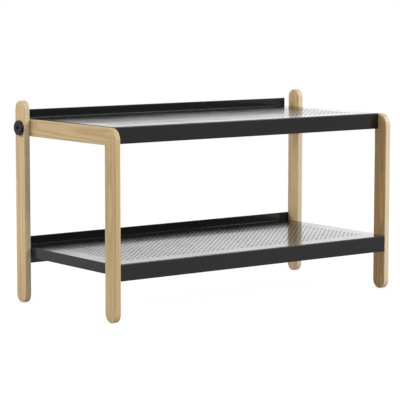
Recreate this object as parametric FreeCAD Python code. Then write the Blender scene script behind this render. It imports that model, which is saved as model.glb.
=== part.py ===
import FreeCAD, Part
import os

# A low two-tier rack: two solid-ash end frames joined by two folded, perforated steel trays.
#
# +X runs along the trays, +Y to the back and +Z up. The origin is on the floor, under the
# middle of the rack. All sizes are in millimetres.
#
# Each end frame has three sticks of flat stock, the rail a little narrower than the legs. The
# top rail and the front leg are mitred into an upside-down L. The rear leg stands outside that
# L, laps the end of the rail and rises above it, and one big flat-headed bolt clamps the two.

# ---- overall sizes ----
WIDTH = 790.0
DEPTH = 364.0
HEIGHT = 443.5

# ---- wooden stock ----
STOCK_THICKNESS = 14.0
LEG_WIDTH = 38.0
RAIL_WIDTH = 36.0
CORNER_RADIUS = 25.0
EDGE_ROUND = 1.6
REAR_LEG_RISE = 41.0

# ---- steel trays ----
SHEET = 1.2
BEND_RADIUS = 1.0
LIP_HEIGHT = 19.2
FRONT_APRON = 35.6
SIDE_FLANGE = 22.8
UPPER_REAR_APRON = 35.6
LOWER_REAR_APRON = 41.0
UPPER_FLOOR_PROUD = 1.2
LOWER_FLOOR = 123.2
UPPER_SETBACK = 26.5
TRAY_CLEARANCE = 0.3

# ---- perforation ----
HOLE_DIAMETER = 6.4
HOLE_PITCH = 13.35
PLAIN_MARGIN = 44.0

# ---- corner dowels, across the mitre ----
CORNER_DOWEL_DIAMETER = 6.0
CORNER_DOWEL_COVER = 2.5

# ---- frame bolt and its threaded bush ----
BOLT_HEAD_DIAMETER = 32.3
BOLT_HEAD_HEIGHT = 6.3
BOLT_HEAD_ROUND = 1.6
BOLT_SHANK_DIAMETER = 8.0
BOLT_SOCKET_FLATS = 8.0
BOLT_SOCKET_DEPTH = 3.5
BOLT_HOLE_CLEARANCE = 0.5
BUSH_DIAMETER = 12.0
BUSH_COVER = 2.0
BUSH_FLOOR = 1.0

# ---- lap dowels, beside the frame bolt ----
LAP_DOWEL_DIAMETER = 5.0
LAP_DOWEL_COVER = 6.0
LAP_DOWEL_WOOD = 3.0

# ---- tray screws and their inserts ----
SCREW_DIAMETER = 5.0
SCREW_END_GAP = 1.4
SCREW_HEAD_DIAMETER = 9.6
SCREW_HEAD_HEIGHT = 2.8
SCREW_HOLE_CLEARANCE = 0.5
SCREW_DROP = 12.0
SCREW_END_DISTANCE = 20.0
INSERT_DIAMETER = 8.0
INSERT_COVER = 4.0

# ---- planes that several pieces share ----
OUTER_X = WIDTH / 2
LAP_X = OUTER_X - STOCK_THICKNESS
INNER_X = LAP_X - STOCK_THICKNESS
FRONT_Y = -DEPTH / 2
REAR_Y = DEPTH / 2
FRONT_LEG_BACK_Y = FRONT_Y + LEG_WIDTH
REAR_LEG_FRONT_Y = REAR_Y - LEG_WIDTH
REAR_LEG_Y = REAR_Y - LEG_WIDTH / 2
FRONT_LEG_Y = FRONT_Y + LEG_WIDTH / 2
RAIL_TOP = HEIGHT - REAR_LEG_RISE
RAIL_BOTTOM = RAIL_TOP - RAIL_WIDTH
RAIL_Z = RAIL_TOP - RAIL_WIDTH / 2
UPPER_FLOOR = RAIL_TOP + UPPER_FLOOR_PROUD
UPPER_FRONT_Y = FRONT_Y + UPPER_SETBACK
TRAY_REAR_Y = REAR_Y
BUSH_LENGTH = STOCK_THICKNESS - BUSH_COVER
INSERT_LENGTH = STOCK_THICKNESS - INSERT_COVER

# PAST is how far a cutting shape passes the face it cuts, so that no skin is left. Two places
# closer than SAME_PLACE are the same one.
PAST = 2.0
SAME_PLACE = 0.01
COS_45 = 0.5 ** 0.5
MITRE_LENGTH = (LEG_WIDTH + RAIL_WIDTH) * COS_45 - CORNER_RADIUS * (1 / COS_45 - 1)

SIDES = {"left": -1, "right": 1}
X_AXIS = FreeCAD.Vector(1, 0, 0)
Z_AXIS = FreeCAD.Vector(0, 0, 1)


def vec(x, y, z):
    return FreeCAD.Vector(x, y, z)


def box(x0, x1, y0, y1, z0, z1):
    """A box from its two limits along each axis, in either order."""
    corner = vec(min(x0, x1), min(y0, y1), min(z0, z1))
    return Part.makeBox(abs(x1 - x0), abs(y1 - y0), abs(z1 - z0), corner)


def cylinder(diameter, start, direction, length):
    return Part.makeCylinder(diameter / 2, length, start, direction)


def save(name, solids):
    """Writes one node. Several separate solids go out as one group."""
    shape = solids[0] if len(solids) == 1 else Part.makeCompound(solids)
    shape.exportStep("parts/" + name + ".step")


def outline(points, arcs):
    """A closed wire in the YZ plane. arcs gives the point halfway along an arc, by the number
    of the corner that it starts from; every other side is straight."""
    edges = []
    for i, start in enumerate(points):
        end = points[(i + 1) % len(points)]
        a = vec(0, start[0], start[1])
        b = vec(0, end[0], end[1])
        if i in arcs:
            middle = vec(0, arcs[i][0], arcs[i][1])
            edges.append(Part.Arc(a, middle, b).toShape())
        else:
            edges.append(Part.makeLine(a, b))
    return Part.Wire(edges)


def stick(wire, x0, x1):
    """A wooden stick of the outline, between two planes across X, with its long edges eased."""
    face = Part.Face(wire)
    face.translate(vec(min(x0, x1), 0, 0))
    solid = face.extrude(vec(abs(x1 - x0), 0, 0))
    rims = []
    for edge in solid.Edges:
        if edge.BoundBox.XLength < SAME_PLACE:
            rims.append(edge)
    return solid.makeFillet(EDGE_ROUND, rims)


# ---- end frames ----

def rear_leg(side):
    """The full-height leg, half round at both ends."""
    low = LEG_WIDTH / 2
    high = HEIGHT - LEG_WIDTH / 2
    points = [(REAR_LEG_FRONT_Y, low), (REAR_Y, low), (REAR_Y, high), (REAR_LEG_FRONT_Y, high)]
    arcs = {0: (REAR_LEG_Y, 0), 2: (REAR_LEG_Y, HEIGHT)}
    return stick(outline(points, arcs), side * LAP_X, side * OUTER_X)


def bent_frame(side):
    """The upside-down L of the top rail and front leg, before the mitre splits it."""
    low = LEG_WIDTH / 2
    knee = CORNER_RADIUS * (1 - COS_45)
    points = [
        (FRONT_LEG_BACK_Y, low),
        (FRONT_LEG_BACK_Y, RAIL_BOTTOM),
        (REAR_Y, RAIL_BOTTOM),
        (REAR_Y, RAIL_TOP),
        (FRONT_Y + CORNER_RADIUS, RAIL_TOP),
        (FRONT_Y, RAIL_TOP - CORNER_RADIUS),
        (FRONT_Y, low),
    ]
    arcs = {4: (FRONT_Y + knee, RAIL_TOP - knee), 6: (FRONT_LEG_Y, 0)}
    return stick(outline(points, arcs), side * INNER_X, side * LAP_X)


def above_mitre():
    """Everything behind and above the mitre, a 45-degree plane through the L's inner corner."""
    reach = DEPTH + HEIGHT
    points = [
        (FRONT_LEG_BACK_Y - reach, RAIL_BOTTOM + reach),
        (FRONT_LEG_BACK_Y + reach, RAIL_BOTTOM - reach),
        (FRONT_LEG_BACK_Y + reach, RAIL_BOTTOM + reach),
    ]
    face = Part.Face(outline(points, {}))
    face.translate(vec(-WIDTH, 0, 0))
    return face.extrude(vec(2 * WIDTH, 0, 0))


def corner_dowels(side):
    """Two dowels square to the mitre, a third and two thirds of the way along it. They stop
    short of the frame's inner faces by the cover."""
    corner = vec(side * (INNER_X + LAP_X) / 2, FRONT_LEG_BACK_Y, RAIL_BOTTOM)
    outwards = vec(0, -COS_45, COS_45)
    across = vec(0, COS_45, COS_45)
    third = MITRE_LENGTH / 3
    half = third - CORNER_DOWEL_DIAMETER / 2 - CORNER_DOWEL_COVER
    dowels = []
    for count in (1, 2):
        centre = corner + outwards * count * third
        dowels.append(cylinder(CORNER_DOWEL_DIAMETER, centre - across * half, across, 2 * half))
    return dowels


# ---- frame bolt ----

def frame_bolt(side):
    """A flat round head with a hex socket, and a shank through the rear leg into the bush."""
    head = cylinder(BOLT_HEAD_DIAMETER, vec(OUTER_X, REAR_LEG_Y, RAIL_Z), X_AXIS, BOLT_HEAD_HEIGHT)
    face_x = OUTER_X + BOLT_HEAD_HEIGHT
    rim = [edge for edge in head.Edges if edge.BoundBox.XMin > face_x - SAME_PLACE]
    head = head.makeFillet(BOLT_HEAD_ROUND, rim)
    reach = STOCK_THICKNESS + BUSH_LENGTH - BUSH_FLOOR
    shank_end = vec(OUTER_X - reach, REAR_LEG_Y, RAIL_Z)
    shank = cylinder(BOLT_SHANK_DIAMETER, shank_end, X_AXIS, reach)
    point = vec(0, 0, BOLT_SOCKET_FLATS / 3 ** 0.5)
    corners = [FreeCAD.Rotation(X_AXIS, 60 * turn).multVec(point) for turn in range(7)]
    socket = Part.Face(Part.makePolygon(corners)).extrude(vec(BOLT_SOCKET_DEPTH, 0, 0))
    socket.translate(vec(face_x - BOLT_SOCKET_DEPTH, REAR_LEG_Y, RAIL_Z))
    bolt = head.fuse(shank).cut(socket)
    return to_side(bolt, side)


def bolt_bush(side):
    """The blind threaded bush in the rail, let in from the lapped face."""
    mouth = LAP_X - BUSH_LENGTH
    body = cylinder(BUSH_DIAMETER, vec(mouth, REAR_LEG_Y, RAIL_Z), X_AXIS, BUSH_LENGTH)
    bore_start = vec(mouth + BUSH_FLOOR, REAR_LEG_Y, RAIL_Z)
    bore = cylinder(BOLT_SHANK_DIAMETER, bore_start, X_AXIS, BUSH_LENGTH)
    return to_side(body.cut(bore), side)


def lap_dowels(side):
    """Two short dowels in the lap, in opposite corners of it, which stop the rear leg turning on
    its bolt."""
    half = STOCK_THICKNESS - LAP_DOWEL_COVER
    offset = RAIL_WIDTH / 2 - LAP_DOWEL_WOOD - LAP_DOWEL_DIAMETER / 2
    dowels = []
    for step in (-1, 1):
        start = vec(LAP_X - half, REAR_LEG_Y + step * offset, RAIL_Z - step * offset)
        dowels.append(to_side(cylinder(LAP_DOWEL_DIAMETER, start, X_AXIS, 2 * half), side))
    return dowels


def to_side(shape, side):
    """Pieces drawn on the right are mirrored for the left."""
    if side > 0:
        return shape
    return shape.mirror(vec(0, 0, 0), X_AXIS)


# ---- trays ----

def tray_section(front_y, floor, rear_apron):
    """The folded sheet's section, cut from front to back: front apron, floor, doubled rear lip
    and rear apron."""
    outer_bend = BEND_RADIUS + SHEET
    lip_y = TRAY_REAR_Y - 2 * SHEET
    apron_y = TRAY_REAR_Y - SHEET
    lip_top = floor + LIP_HEIGHT
    under = floor - SHEET
    points = [
        (front_y, floor - FRONT_APRON),
        (front_y, floor - outer_bend),
        (front_y + outer_bend, floor),
        (lip_y - BEND_RADIUS, floor),
        (lip_y, floor + BEND_RADIUS),
        (lip_y, lip_top - SHEET),
        (TRAY_REAR_Y, lip_top - SHEET),
        (TRAY_REAR_Y, floor - rear_apron),
        (apron_y, floor - rear_apron),
        (apron_y, under),
        (front_y + outer_bend, under),
        (front_y + SHEET, floor - outer_bend),
        (front_y + SHEET, floor - FRONT_APRON),
    ]
    outer_knee = outer_bend * (1 - COS_45)
    inner_knee = BEND_RADIUS * (1 - COS_45)
    arcs = {
        1: (front_y + outer_knee, floor - outer_knee),
        3: (lip_y - inner_knee, floor + inner_knee),
        5: (apron_y, lip_top),
        10: (front_y + SHEET + inner_knee, under - inner_knee),
    }
    return outline(points, arcs)


def tray_body(half_width, front_y, floor, rear_apron):
    face = Part.Face(tray_section(front_y, floor, rear_apron))
    face.translate(vec(-half_width, 0, 0))
    body = face.extrude(vec(2 * half_width, 0, 0))
    for side in SIDES.values():
        flange = side_flange(side * half_width, side, front_y + SHEET + BEND_RADIUS,
                             TRAY_REAR_Y - SHEET, floor)
        body = body.fuse(flange)
    return body


def side_flange(outer_x, side, y0, y1, floor):
    """A side flange hanging from the floor, flush with its edge."""
    return box(outer_x, outer_x - side * SHEET, y0, y1, floor - SIDE_FLANGE, floor - SHEET / 2)


def hole_places(half_width, front_y):
    """Centres of a square grid of holes that fills the floor inside its plain margin."""
    lip_y = TRAY_REAR_Y - 2 * SHEET
    span_x = 2 * (half_width - PLAIN_MARGIN)
    span_y = lip_y - front_y - 2 * PLAIN_MARGIN
    columns = int(span_x // HOLE_PITCH) + 1
    rows = int(span_y // HOLE_PITCH) + 1
    first_x = -HOLE_PITCH * (columns - 1) / 2
    first_y = (front_y + lip_y - HOLE_PITCH * (rows - 1)) / 2
    places = []
    for i in range(columns):
        for j in range(rows):
            places.append((first_x + i * HOLE_PITCH, first_y + j * HOLE_PITCH))
    return places


def perforate(body, half_width, front_y, floor):
    """Cuts the grid of holes through the floor."""
    places = hole_places(half_width, front_y)
    tools = []
    for x, y in places:
        start = vec(x, y, floor - SHEET - PAST)
        tools.append(cylinder(HOLE_DIAMETER, start, Z_AXIS, SHEET + 2 * PAST))
    return body.cut(Part.makeCompound(tools))


def screw_holes(body, points):
    """Clearance holes for the screws, through the flanges and ears."""
    for x, y, z in points:
        start = vec(x - SHEET - PAST, y, z)
        hole = cylinder(SCREW_DIAMETER + SCREW_HOLE_CLEARANCE, start, X_AXIS, 2 * (SHEET + PAST))
        body = body.cut(hole)
    return body


def upper_tray():
    half = INNER_X
    body = tray_body(half, UPPER_FRONT_Y, UPPER_FLOOR, UPPER_REAR_APRON)
    body = screw_holes(body, upper_screw_points())
    return perforate(body, half, UPPER_FRONT_Y, UPPER_FLOOR)


def lower_tray():
    """The lower tray is as wide as the gap between the rear legs, and notched round the front
    legs, with a short ear down the inside of each."""
    half = LAP_X
    body = tray_body(half, FRONT_Y, LOWER_FLOOR, LOWER_REAR_APRON)
    back = FRONT_LEG_BACK_Y + TRAY_CLEARANCE
    for side in SIDES.values():
        notch = box(side * INNER_X, side * (LAP_X + PAST), FRONT_Y - PAST, back,
                    LOWER_FLOOR - FRONT_APRON - PAST, LOWER_FLOOR + PAST)
        body = body.cut(notch)
        ear = side_flange(side * INNER_X, side, FRONT_Y + SHEET, FRONT_LEG_BACK_Y, LOWER_FLOOR)
        body = body.fuse(ear)
    body = screw_holes(body, lower_screw_points())
    return perforate(body, half, FRONT_Y, LOWER_FLOOR)


# ---- tray screws ----

def upper_screw_points():
    """Where the upper tray's flanges are screwed to the rails, on the rails' inner faces."""
    z = UPPER_FLOOR - SCREW_DROP
    first = FRONT_LEG_BACK_Y + SCREW_END_DISTANCE
    last = REAR_LEG_FRONT_Y - SCREW_END_DISTANCE
    points = []
    for side in SIDES.values():
        for y in (first, (first + last) / 2, last):
            points.append((side * INNER_X, y, z))
    return points


def lower_screw_points():
    """The lower tray is screwed to the front legs through its ears and to the rear legs
    through its side flanges."""
    z = LOWER_FLOOR - SCREW_DROP
    points = []
    for side in SIDES.values():
        points.append((side * INNER_X, FRONT_LEG_Y, z))
        points.append((side * LAP_X, REAR_LEG_Y, z))
    return points


def screw(point):
    """A pan-head screw, driven outwards from inside the tray."""
    x, y, z = point
    side = 1 if x > 0 else -1
    seat = abs(x) - SHEET
    head = cylinder(SCREW_HEAD_DIAMETER, vec(seat - SCREW_HEAD_HEIGHT, y, z), X_AXIS, SCREW_HEAD_HEIGHT)
    crown_x = seat - SCREW_HEAD_HEIGHT
    rim = [edge for edge in head.Edges if edge.BoundBox.XMax < crown_x + SAME_PLACE]
    head = head.makeFillet(SCREW_HEAD_HEIGHT / 2, rim)
    reach = SHEET + INSERT_LENGTH - SCREW_END_GAP
    shank = cylinder(SCREW_DIAMETER, vec(seat, y, z), X_AXIS, reach)
    return to_side(head.fuse(shank), side)


def insert(point):
    """A threaded insert, sunk in the wood from its inner face."""
    x, y, z = point
    side = 1 if x > 0 else -1
    body = cylinder(INSERT_DIAMETER, vec(abs(x), y, z), X_AXIS, INSERT_LENGTH)
    bore = cylinder(SCREW_DIAMETER, vec(abs(x) - PAST, y, z), X_AXIS, INSERT_LENGTH + 2 * PAST)
    return to_side(body.cut(bore), side)


def insert_pocket(point):
    x, y, z = point
    side = 1 if x > 0 else -1
    pocket = cylinder(INSERT_DIAMETER, vec(abs(x) - PAST, y, z), X_AXIS, INSERT_LENGTH + PAST)
    return to_side(pocket, side)


# ---- build ----

os.makedirs("parts", exist_ok=True)

upper_points = upper_screw_points()
lower_points = lower_screw_points()

for name, side in SIDES.items():
    rear_points = [p for p in lower_points if p[0] == side * LAP_X]
    front_points = [p for p in lower_points if p[0] == side * INNER_X]
    rail_points = [p for p in upper_points if p[0] == side * INNER_X]

    bolt_hole = cylinder(BOLT_SHANK_DIAMETER + BOLT_HOLE_CLEARANCE,
                         vec(LAP_X - PAST, REAR_LEG_Y, RAIL_Z), X_AXIS, STOCK_THICKNESS + 2 * PAST)
    bush_hole = cylinder(BUSH_DIAMETER, vec(LAP_X - BUSH_LENGTH, REAR_LEG_Y, RAIL_Z), X_AXIS,
                         BUSH_LENGTH + PAST)
    laps = lap_dowels(side)
    corners = corner_dowels(side)

    leg = rear_leg(side).cut([to_side(bolt_hole, side)] + laps)
    for point in rear_points:
        leg = leg.cut(insert_pocket(point))
    save(name + "_rear_leg", [leg])

    bent = bent_frame(side)
    rail = bent.common(above_mitre()).cut([to_side(bush_hole, side)] + laps + corners)
    for point in rail_points:
        rail = rail.cut(insert_pocket(point))
    save(name + "_top_rail", [rail])

    front = bent.cut(above_mitre()).cut(corners)
    for point in front_points:
        front = front.cut(insert_pocket(point))
    save(name + "_front_leg", [front])

    save(name + "_corner_dowels", corners)
    save(name + "_lap_dowels", laps)
    save(name + "_frame_bolt", [frame_bolt(side)])
    save(name + "_bolt_bush", [bolt_bush(side)])

save("upper_tray", [upper_tray()])
save("lower_tray", [lower_tray()])
save("upper_tray_screws", [screw(p) for p in upper_points])
save("lower_tray_screws", [screw(p) for p in lower_points])
save("upper_tray_inserts", [insert(p) for p in upper_points])
save("lower_tray_inserts", [insert(p) for p in lower_points])
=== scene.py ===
import math

import bpy
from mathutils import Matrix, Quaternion, Vector


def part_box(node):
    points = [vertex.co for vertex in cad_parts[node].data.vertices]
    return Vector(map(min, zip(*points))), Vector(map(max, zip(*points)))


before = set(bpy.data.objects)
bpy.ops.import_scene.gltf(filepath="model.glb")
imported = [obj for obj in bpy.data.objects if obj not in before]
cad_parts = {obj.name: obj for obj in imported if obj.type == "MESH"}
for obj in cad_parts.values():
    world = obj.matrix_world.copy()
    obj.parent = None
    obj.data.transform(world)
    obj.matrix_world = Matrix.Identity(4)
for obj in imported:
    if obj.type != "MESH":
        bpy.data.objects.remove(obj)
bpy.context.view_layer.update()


# ---- Ash sticks: rear legs, front legs and top rails ----
# Six flat lengths of ash, planed, eased at the edges and finished with a matt clear lacquer. Ash
# has pale wood with darker, coarse-pored early rings, and fine pores that show as short dashes
# along the grain. Each stick is cut from another board, with a tone of its own. On three legs the
# broad faces and the edges differ in colour as painted light: paler painted light on the edges,
# and a warm painted light in the shade of the right front leg's broad faces.

class Link:
    """A shader socket that takes part in ordinary arithmetic, which adds its Math nodes."""

    def __init__(self, finish, socket):
        self.finish = finish
        self.socket = socket

    def __add__(self, other):
        return self.finish.maths("ADD", self, other)

    def __radd__(self, other):
        return self.finish.maths("ADD", other, self)

    def __sub__(self, other):
        return self.finish.maths("SUBTRACT", self, other)

    def __rsub__(self, other):
        return self.finish.maths("SUBTRACT", other, self)

    def __mul__(self, other):
        return self.finish.maths("MULTIPLY", self, other)

    def __rmul__(self, other):
        return self.finish.maths("MULTIPLY", other, self)

    def __truediv__(self, other):
        return self.finish.maths("DIVIDE", self, other)

    def __pow__(self, other):
        return self.finish.maths("POWER", self, other)


class Finish:
    """The shader of one material, or of the surround, built up node by node."""

    def __init__(self, holder):
        holder.use_nodes = True
        self.holder = holder
        self.tree = holder.node_tree
        self.tree.nodes.clear()

    def add(self, kind, settings, values, output=0):
        """Adds a node: its settings first, then a value or a link for each socket named."""
        node = self.tree.nodes.new(kind)
        for name, setting in settings.items():
            if name == "stops":
                ramp = node.color_ramp
                for i, (place, colour) in enumerate(setting):
                    stop = ramp.elements[i] if i < 2 else ramp.elements.new(place)
                    stop.position = place
                    stop.color = (*colour, 1.0)
            else:
                setattr(node, name, setting)
        for key, value in values.items():
            if isinstance(value, Link):
                self.tree.links.new(value.socket, node.inputs[key])
            else:
                node.inputs[key].default_value = value
        return Link(self, node.outputs[output]) if node.outputs else None

    def place(self):
        """The point on the piece, in the rack's own frame."""
        return self.add("ShaderNodeTexCoord", {}, {}, output="Object")

    def facing(self):
        """The direction that the surface faces."""
        return self.add("ShaderNodeTexCoord", {}, {}, output="Normal")

    def part(self, vector, axis):
        return self.add("ShaderNodeSeparateXYZ", {}, {0: vector}, output=axis)

    def maths(self, operation, *values):
        return self.add("ShaderNodeMath", {"operation": operation}, dict(enumerate(values)))

    def mix(self, factor, first, second):
        """Blends two colours, either of which may be a plain colour."""
        sockets = {0: factor}
        for place, colour in ((6, first), (7, second)):
            sockets[place] = colour if isinstance(colour, Link) else (*colour, 1.0)
        return self.add("ShaderNodeMix", {"data_type": "RGBA"}, sockets, output=2)

    def noise(self, place, scale, detail=3.0, roughness=0.5):
        sockets = {"Vector": place, "Scale": scale, "Detail": detail, "Roughness": roughness}
        return self.add("ShaderNodeTexNoise", {}, sockets)

    def between(self, value, low, high):
        """0 where the value is under low, 1 over high, and smooth between them."""
        return self.add("ShaderNodeMapRange", {"interpolation_type": "SMOOTHSTEP"},
                        {"Value": value, "From Min": low, "From Max": high})

    def bump(self, height, strength, depth):
        sockets = {"Height": height, "Strength": strength, "Distance": depth}
        return self.add("ShaderNodeBump", {}, sockets)

    def surface(self, **sockets):
        """Ends the material with a Principled shader. Underscores stand for spaces."""
        named = {name.replace("_", " "): value for name, value in sockets.items()}
        shader = self.add("ShaderNodeBsdfPrincipled", {}, named)
        self.add("ShaderNodeOutputMaterial", {}, {"Surface": shader})
        return self.holder


def new_finish(name):
    return Finish(bpy.data.materials.new(name))


def paint(node, material):
    """Gives a CAD node its finish."""
    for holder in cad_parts[node].material_slots:
        holder.material = material


ASH_PALE = (0.69, 0.505, 0.255)
# Painted light: a paler colour for the edges of three legs.
ASH_CREAM_PAINTED_LIGHT = (0.80, 0.69, 0.47)
ASH_HONEY = (0.78, 0.565, 0.30)
# Painted warm light in the shade of the right front leg's broad faces.
ASH_TAN_PAINTED_WARM_LIGHT = (0.93, 0.56, 0.24)
ASH_DARK = (0.44, 0.28, 0.12)
ASH_PORE = (0.30, 0.185, 0.09)
ASH_END = (0.50, 0.35, 0.20)
ASH_RING = 0.0031

# Waves in a metre, along the grain and across it, of each pattern in the wood.
WANDER_WAVES = (2.2, 14.0)
RIPPLE_WAVES = (9.0, 60.0)
CLOUD_WAVES = (1.6, 26.0)
STREAK_WAVES = (7.0, 420.0)
PORE_WAVES = (150.0, 3600.0)

# How far the rings stray from true circles: in metres for the tree's slow bends, and in rings
# for the ripple.
WANDER_THROUGH = 0.016
WANDER_ACROSS = 0.010
RIPPLE_RINGS = 0.9

# Where the early wood starts and ends in a year's ring, and which noise is a pore.
EARLY_STARTS = (0.0, 0.12)
EARLY_ENDS = (0.22, 0.75)
PORE_EDGE = (0.60, 0.70)
GRAIN_DEPTH = 0.0004


def ash(name, grain, pith, cut, broad_tone_and_painted_light, edges_tone_and_painted_light):
    """Ash with its grain along one axis. pith is where the tree's middle lay, across the stick, in
    metres, and cut shifts the pattern so that no two sticks match. The last two arguments are the
    colours of its broad faces and of its edges; where they differ, the difference is painted
    light, not the wood."""
    finish = new_finish(name)
    place = finish.place()
    axes = [finish.part(place, axis) for axis in range(3)]
    along = axes.pop(grain) + cut
    through, across = axes

    def grain_noise(waves, detail, roughness=0.5):
        """Noise drawn out along the grain. waves is how many it has in a metre, along the grain
        and across it."""
        lengthways, sideways = waves
        drawn_out = finish.add("ShaderNodeCombineXYZ", {}, {
            0: along * lengthways, 1: through * sideways, 2: across * sideways})
        return finish.noise(drawn_out, 1.0, detail, roughness)

    wander = grain_noise(WANDER_WAVES, 2.0) - 0.5
    ripple = grain_noise(RIPPLE_WAVES, 3.0) - 0.5
    from_pith_x = through - pith[0] + wander * WANDER_THROUGH
    from_pith_y = across - pith[1] + wander * WANDER_ACROSS
    radius = (from_pith_x * from_pith_x + from_pith_y * from_pith_y) ** 0.5
    rings = radius / ASH_RING + ripple * RIPPLE_RINGS
    year = finish.maths("FRACT", rings)
    early = finish.between(year, *EARLY_STARTS) * (1 - finish.between(year, *EARLY_ENDS))

    tone = grain_noise(CLOUD_WAVES, 2.0)
    streak = grain_noise(STREAK_WAVES, 4.0, roughness=0.6)
    pores = grain_noise(PORE_WAVES, 1.0)
    pore = finish.between(pores, *PORE_EDGE) * (0.25 + early * 0.75)

    facing = finish.facing()
    sideways_face = finish.part(facing, 0)
    along_face = finish.part(facing, grain)
    # Faces across X take the broad-face colour, the rest the colour of the edges; on three legs
    # this split is painted light, not the wood.
    wood = finish.mix(sideways_face * sideways_face, edges_tone_and_painted_light, broad_tone_and_painted_light)
    wood = finish.mix(early * 0.42 + (streak - 0.5) * 0.5, wood, ASH_DARK)
    wood = finish.mix(finish.between(tone, 0.35, 0.75) * 0.28, wood, ASH_DARK)
    wood = finish.mix(pore * 0.55, wood, ASH_PORE)

    end_grain = finish.between(along_face * along_face, 0.35, 1.0)
    wood = finish.mix(end_grain * 0.45, wood, ASH_END)

    height = streak * 0.25 - pore * 0.75
    return finish.surface(
        Base_Color=wood,
        Roughness=0.46 + streak * 0.16 + pore * 0.15 + end_grain * 0.1,
        Normal=finish.bump(height, 0.35, GRAIN_DEPTH),
    )


ALONG_Y = 1
ALONG_Z = 2
# On three legs the edges carry a paler painted light, and the right front leg's broad faces a
# painted warm light in their shade.
for stick, grain, pith, cut, broad_tone_and_painted_light, edges_tone_and_painted_light in (
    ("left_rear_leg", ALONG_Z, (-0.437, 0.172), 0.0, ASH_HONEY, ASH_CREAM_PAINTED_LIGHT),
    ("left_front_leg", ALONG_Z, (-0.333, -0.156), 1.7, ASH_PALE, ASH_PALE),
    ("left_top_rail", ALONG_Y, (-0.428, 0.393), 3.1, ASH_PALE, ASH_PALE),
    ("right_rear_leg", ALONG_Z, (0.431, 0.156), 4.6, ASH_HONEY, ASH_CREAM_PAINTED_LIGHT),
    ("right_front_leg", ALONG_Z, (0.326, -0.171), 6.2, ASH_TAN_PAINTED_WARM_LIGHT, ASH_CREAM_PAINTED_LIGHT),
    ("right_top_rail", ALONG_Y, (0.418, 0.379), 7.9, ASH_PALE, ASH_PALE),
):
    paint(stick, ash("ash " + stick.replace("_", " "), grain, pith, cut, broad_tone_and_painted_light, edges_tone_and_painted_light))


# ---- Beech dowels in the mitres and the laps ----
# Plain turned beech pegs, glued in. They are hidden once the frame is together: straight pale
# grain with the short darker flecks of beech, and no finish.

BEECH_PALE = (0.66, 0.47, 0.30)
BEECH_FLECK = (0.42, 0.26, 0.15)
BEECH_FLECK_SCALE = 900.0
BEECH_TONE_SCALE = 160.0
BEECH_DEPTH = 0.0002


def raw_beech():
    finish = new_finish("raw beech")
    place = finish.place()
    fleck = finish.between(finish.noise(place, BEECH_FLECK_SCALE, detail=2.0), 0.55, 0.72)
    tone = finish.noise(place, BEECH_TONE_SCALE)
    wood = finish.mix(fleck * 0.6 + tone * 0.2, BEECH_PALE, BEECH_FLECK)
    return finish.surface(Base_Color=wood, Roughness=0.62 + tone * 0.2,
                          Normal=finish.bump(tone, 0.2, BEECH_DEPTH))


beech = raw_beech()
for side in ("left", "right"):
    paint(side + "_corner_dowels", beech)
    paint(side + "_lap_dowels", beech)


# ---- The two trays ----
# Each tray is one perforated steel sheet, folded to an apron in front, flanges at the ends and a
# doubled lip at the back. It is powder coated satin black: a very fine orange peel, a thin clear
# skin that shines at low angles, and a little dust on the flat, which dulls it.

COAT_BLACK = (0.0075, 0.0075, 0.0078)
COAT_DUSTY = (0.022, 0.022, 0.022)
COAT_CLOUD_SCALE = 9.0
COAT_GRIT_SCALE = 2600.0
COAT_PEEL_SCALE = 620.0
COAT_PEEL_DEPTH = 0.0002


def powder_coat():
    finish = new_finish("satin black powder coat")
    place = finish.place()
    upward = finish.between(finish.part(finish.facing(), 2), 0.6, 0.98)
    cloud = finish.noise(place, COAT_CLOUD_SCALE, detail=4.0, roughness=0.6)
    grit = finish.noise(place, COAT_GRIT_SCALE, detail=2.0)
    peel = finish.noise(place, COAT_PEEL_SCALE, detail=1.0)
    specks = finish.between(grit, 0.66, 0.74)
    dust = upward * finish.between(cloud, 0.3, 0.8) * 0.35 + specks * 0.22
    colour = finish.mix(dust, COAT_BLACK, COAT_DUSTY)
    return finish.surface(
        Base_Color=colour,
        Roughness=0.15 + cloud * 0.06 + dust * 0.10,
        Specular_IOR_Level=0.34,
        Coat_Weight=0.22 - dust * 0.2,
        Coat_Roughness=0.03,
        Normal=finish.bump(peel * 0.8 + grit * 0.2, 0.05, COAT_PEEL_DEPTH),
    )


coat = powder_coat()
paint("upper_tray", coat)
paint("lower_tray", coat)


# ---- The frame bolts ----
# One big turned bolt for each end, with a flat round head and a hex socket. It is blacked steel:
# faint turning rings on the face, and bare metal just showing where the key has rubbed.

BOLT_BLACK = (0.006, 0.006, 0.0065)
BOLT_RUBBED = (0.12, 0.115, 0.11)
SOCKET_REACH = 0.0048
TURNING_PITCH = 0.00045
BOLT_MOTTLE_SCALE = 420.0
METAL_DEPTH = 0.0001


def blacked_steel(name, centre):
    """Black oxide with turning rings round an axis along X through the centre (y, z)."""
    finish = new_finish(name)
    place = finish.place()
    y = finish.part(place, 1) - centre[0]
    z = finish.part(place, 2) - centre[1]
    radius = (y * y + z * z) ** 0.5
    rings = finish.maths("SINE", radius * (2 * math.pi / TURNING_PITCH))
    mottle = finish.noise(place, BOLT_MOTTLE_SCALE, detail=4.0, roughness=0.6)
    near_socket = 1 - finish.between(radius, SOCKET_REACH * 0.8, SOCKET_REACH * 1.25)
    rubbed = near_socket * finish.between(mottle, 0.45, 0.62)
    colour = finish.mix(rubbed * 0.8 + mottle * 0.06, BOLT_BLACK, BOLT_RUBBED)
    return finish.surface(
        Base_Color=colour,
        Metallic=rubbed * 0.7,
        Roughness=0.34 + mottle * 0.16,
        Specular_IOR_Level=0.3,
        Normal=finish.bump(rings * 0.25 + mottle * 0.5, 0.12, METAL_DEPTH),
    )


def middle(node):
    low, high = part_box(node)
    return [(a + b) / 2 for a, b in zip(low, high)]


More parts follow.
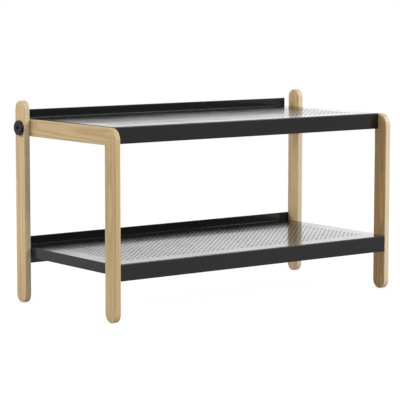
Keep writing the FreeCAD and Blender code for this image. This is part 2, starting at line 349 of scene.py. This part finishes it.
for side in ("left", "right"):
    bolt_middle = middle(side + "_frame_bolt")
    paint(side + "_frame_bolt",
          blacked_steel("blacked steel " + side + " bolt", (bolt_middle[1], bolt_middle[2])))


# ---- Threaded bushes and inserts ----
# Turned brass, pressed into the ash. They are bright where the tool cut them and dull a little
# with age.

BRASS_BRIGHT = (0.72, 0.50, 0.21)
BRASS_DULL = (0.42, 0.27, 0.10)
TARNISH_SCALE = 260.0


def turned_brass():
    finish = new_finish("turned brass")
    place = finish.place()
    tarnish = finish.noise(place, TARNISH_SCALE, detail=4.0, roughness=0.6)
    colour = finish.mix(finish.between(tarnish, 0.35, 0.7), BRASS_BRIGHT, BRASS_DULL)
    return finish.surface(Base_Color=colour, Metallic=1.0, Roughness=0.24 + tarnish * 0.2,
                          Normal=finish.bump(tarnish, 0.08, METAL_DEPTH))


brass = turned_brass()
for node in ("left_bolt_bush", "right_bolt_bush", "upper_tray_inserts", "lower_tray_inserts"):
    paint(node, brass)


# ---- Tray screws ----
# Pan-head screws through the trays' flanges, in the same black as the trays but rolled and
# plated, so they are smoother and slightly mottled.

SCREW_BLACK = (0.020, 0.020, 0.021)
SCREW_WORN = (0.075, 0.073, 0.070)
SCREW_MOTTLE_SCALE = 700.0


def black_plate():
    finish = new_finish("black plated screw")
    place = finish.place()
    mottle = finish.noise(place, SCREW_MOTTLE_SCALE, detail=4.0, roughness=0.6)
    colour = finish.mix(finish.between(mottle, 0.5, 0.75) * 0.6, SCREW_BLACK, SCREW_WORN)
    return finish.surface(Base_Color=colour, Metallic=0.4, Roughness=0.28 + mottle * 0.2,
                          Normal=finish.bump(mottle, 0.1, METAL_DEPTH))


screw_plate = black_plate()
paint("upper_tray_screws", screw_plate)
paint("lower_tray_screws", screw_plate)


# ---- Floor and surround ----
# A pale studio floor that keeps the rack's shadow, and a white surround that is bright behind the
# rack, most of all at the right, and dimmer in front of it, as in a studio with a lit backdrop.
# Both look white to the camera. The floor's glow darkens a little where the feet touch it, a
# painted contact shadow.

FLOOR_HALF = 14.0
FLOOR_PALE = 0.50
FLOOR_SHADED = 0.06
FLOOR_MIRRORED = 0.10
FLOOR_WHITE = 0.985
FLOOR_REFLECTED = 0.57
CONTACT_REACH = 0.035
CONTACT_SHADE = 0.20
WHITE = 1.0
PURE_WHITE = (WHITE, WHITE, WHITE, 1.0)
BACKDROP_REFLECTED = 1.0
FRONT_REFLECTED = 0.30
BACKDROP_LEFT = 0.33
BACKDROP_RISE = 0.68
SURROUND_SOFT = 0.26

# Where the surround starts to brighten and is brightest, as directions along Y and along X.
BEHIND = (-0.25, 0.45)
AT_RIGHT = (0.42, 0.76)


def ray_is(finish, kind):
    return finish.add("ShaderNodeLightPath", {}, {}, output=kind)


def mirrored(finish):
    """1 for rays that a shiny or clear surface sends on, 0 for the rest."""
    return finish.maths("MAXIMUM", ray_is(finish, "Is Glossy Ray"),
                        ray_is(finish, "Is Transmission Ray"))


bpy.ops.mesh.primitive_plane_add(size=2 * FLOOR_HALF, location=(0, 0, 0))
floor = bpy.context.object
floor.name = "studio_floor"
floor_finish = new_finish("pale floor")
seen = ray_is(floor_finish, "Is Camera Ray")
in_shine = mirrored(floor_finish)
tone = (FLOOR_PALE - seen * (FLOOR_PALE - FLOOR_SHADED)
        - in_shine * (FLOOR_PALE - FLOOR_MIRRORED))
pale = floor_finish.add("ShaderNodeBsdfDiffuse", {}, {"Color": tone})
# Ambient occlusion dims the glow near the feet: a painted contact shadow.
openness = floor_finish.add("ShaderNodeAmbientOcclusion", {"samples": 12},
                            {"Distance": CONTACT_REACH}, output="AO")
white = FLOOR_WHITE - (1 - openness) * CONTACT_SHADE
glow = floor_finish.add("ShaderNodeEmission", {}, {
    "Color": PURE_WHITE,
    "Strength": seen * white + in_shine * FLOOR_REFLECTED,
})
both = floor_finish.add("ShaderNodeAddShader", {}, {0: pale, 1: glow})
floor_finish.add("ShaderNodeOutputMaterial", {}, {"Surface": both})
floor_finish.holder.cycles.emission_sampling = "NONE"
floor.data.materials.append(floor_finish.holder)

world = bpy.data.worlds.new("white surround")
bpy.context.scene.world = world
world.cycles.sampling_method = "NONE"
surround = Finish(world)
heading = surround.add("ShaderNodeTexCoord", {}, {}, output="Generated")
behind = surround.between(surround.part(heading, 1), *BEHIND)
at_right = surround.between(surround.part(heading, 0), *AT_RIGHT)
in_mirror = ((FRONT_REFLECTED + behind * (BACKDROP_REFLECTED - FRONT_REFLECTED))
             * (BACKDROP_LEFT + at_right * BACKDROP_RISE))
on_camera = ray_is(surround, "Is Camera Ray")
in_gloss = mirrored(surround)
strength = (on_camera * WHITE + in_gloss * in_mirror
            + (1 - surround.maths("MAXIMUM", on_camera, in_gloss)) * SURROUND_SOFT)
light = surround.add("ShaderNodeBackground", {}, {"Color": PURE_WHITE, "Strength": strength})
surround.add("ShaderNodeOutputWorld", {}, {"Surface": light})


# ---- Lamps ----
# Soft boxes: one high at the left behind the rack, one overhead, two in front, high and low, and
# one that lights the back of the studio.

def soft_box(name, place, aim, width, height, power):
    lamp = bpy.data.lights.new(name, "AREA")
    lamp.shape = "RECTANGLE"
    lamp.size = width
    lamp.size_y = height
    lamp.energy = power
    holder = bpy.data.objects.new(name, lamp)
    holder.location = place
    holder.rotation_euler = (Vector(aim) - Vector(place)).to_track_quat("-Z", "Y").to_euler()
    holder.visible_camera = False
    bpy.context.scene.collection.objects.link(holder)


soft_box("back_left", place=(-2.0, 1.2, 1.5), aim=(-0.1, 0.0, 0.2),
         width=1.6, height=1.4, power=37.0)
soft_box("overhead", place=(0.0, 0.2, 2.6), aim=(0.0, 0.0, 0.3),
         width=2.2, height=1.8, power=10.0)
soft_box("high_front", place=(1.5, -2.1, 2.1), aim=(0.1, 0.0, 0.25),
         width=2.0, height=1.6, power=72.0)
soft_box("low_front", place=(-0.8, -3.2, 0.7), aim=(0.0, 0.0, 0.25),
         width=1.6, height=1.0, power=13.0)
soft_box("backdrop", place=(1.6, 3.4, 0.85), aim=(0.0, 0.0, 0.85),
         width=5.5, height=1.7, power=22.0)


# ---- Camera ----
# A long lens, from the left and a little above, with the whole rack in a square frame.

CAMERA_PLACE = (-2.4592, -3.2166, 0.6810)
CAMERA_TURN = math.radians(37.101)
CAMERA_TIP = math.radians(6.575)
CAMERA_ROLL = math.radians(0.061)
CAMERA_LENS = 163.33
SENSOR_WIDTH = 36.0

camera_data = bpy.data.cameras.new("camera")
camera_data.lens = CAMERA_LENS
camera_data.sensor_width = SENSOR_WIDTH
camera = bpy.data.objects.new("camera", camera_data)
bpy.context.scene.collection.objects.link(camera)
sight = Vector((math.sin(CAMERA_TURN) * math.cos(CAMERA_TIP),
                math.cos(CAMERA_TURN) * math.cos(CAMERA_TIP),
                -math.sin(CAMERA_TIP)))
camera.location = CAMERA_PLACE
camera.rotation_mode = "QUATERNION"
camera.rotation_quaternion = sight.to_track_quat("-Z", "Y") @ Quaternion((0, 0, 1), CAMERA_ROLL)
bpy.context.scene.camera = camera
bpy.context.scene.view_settings.view_transform = "Standard"
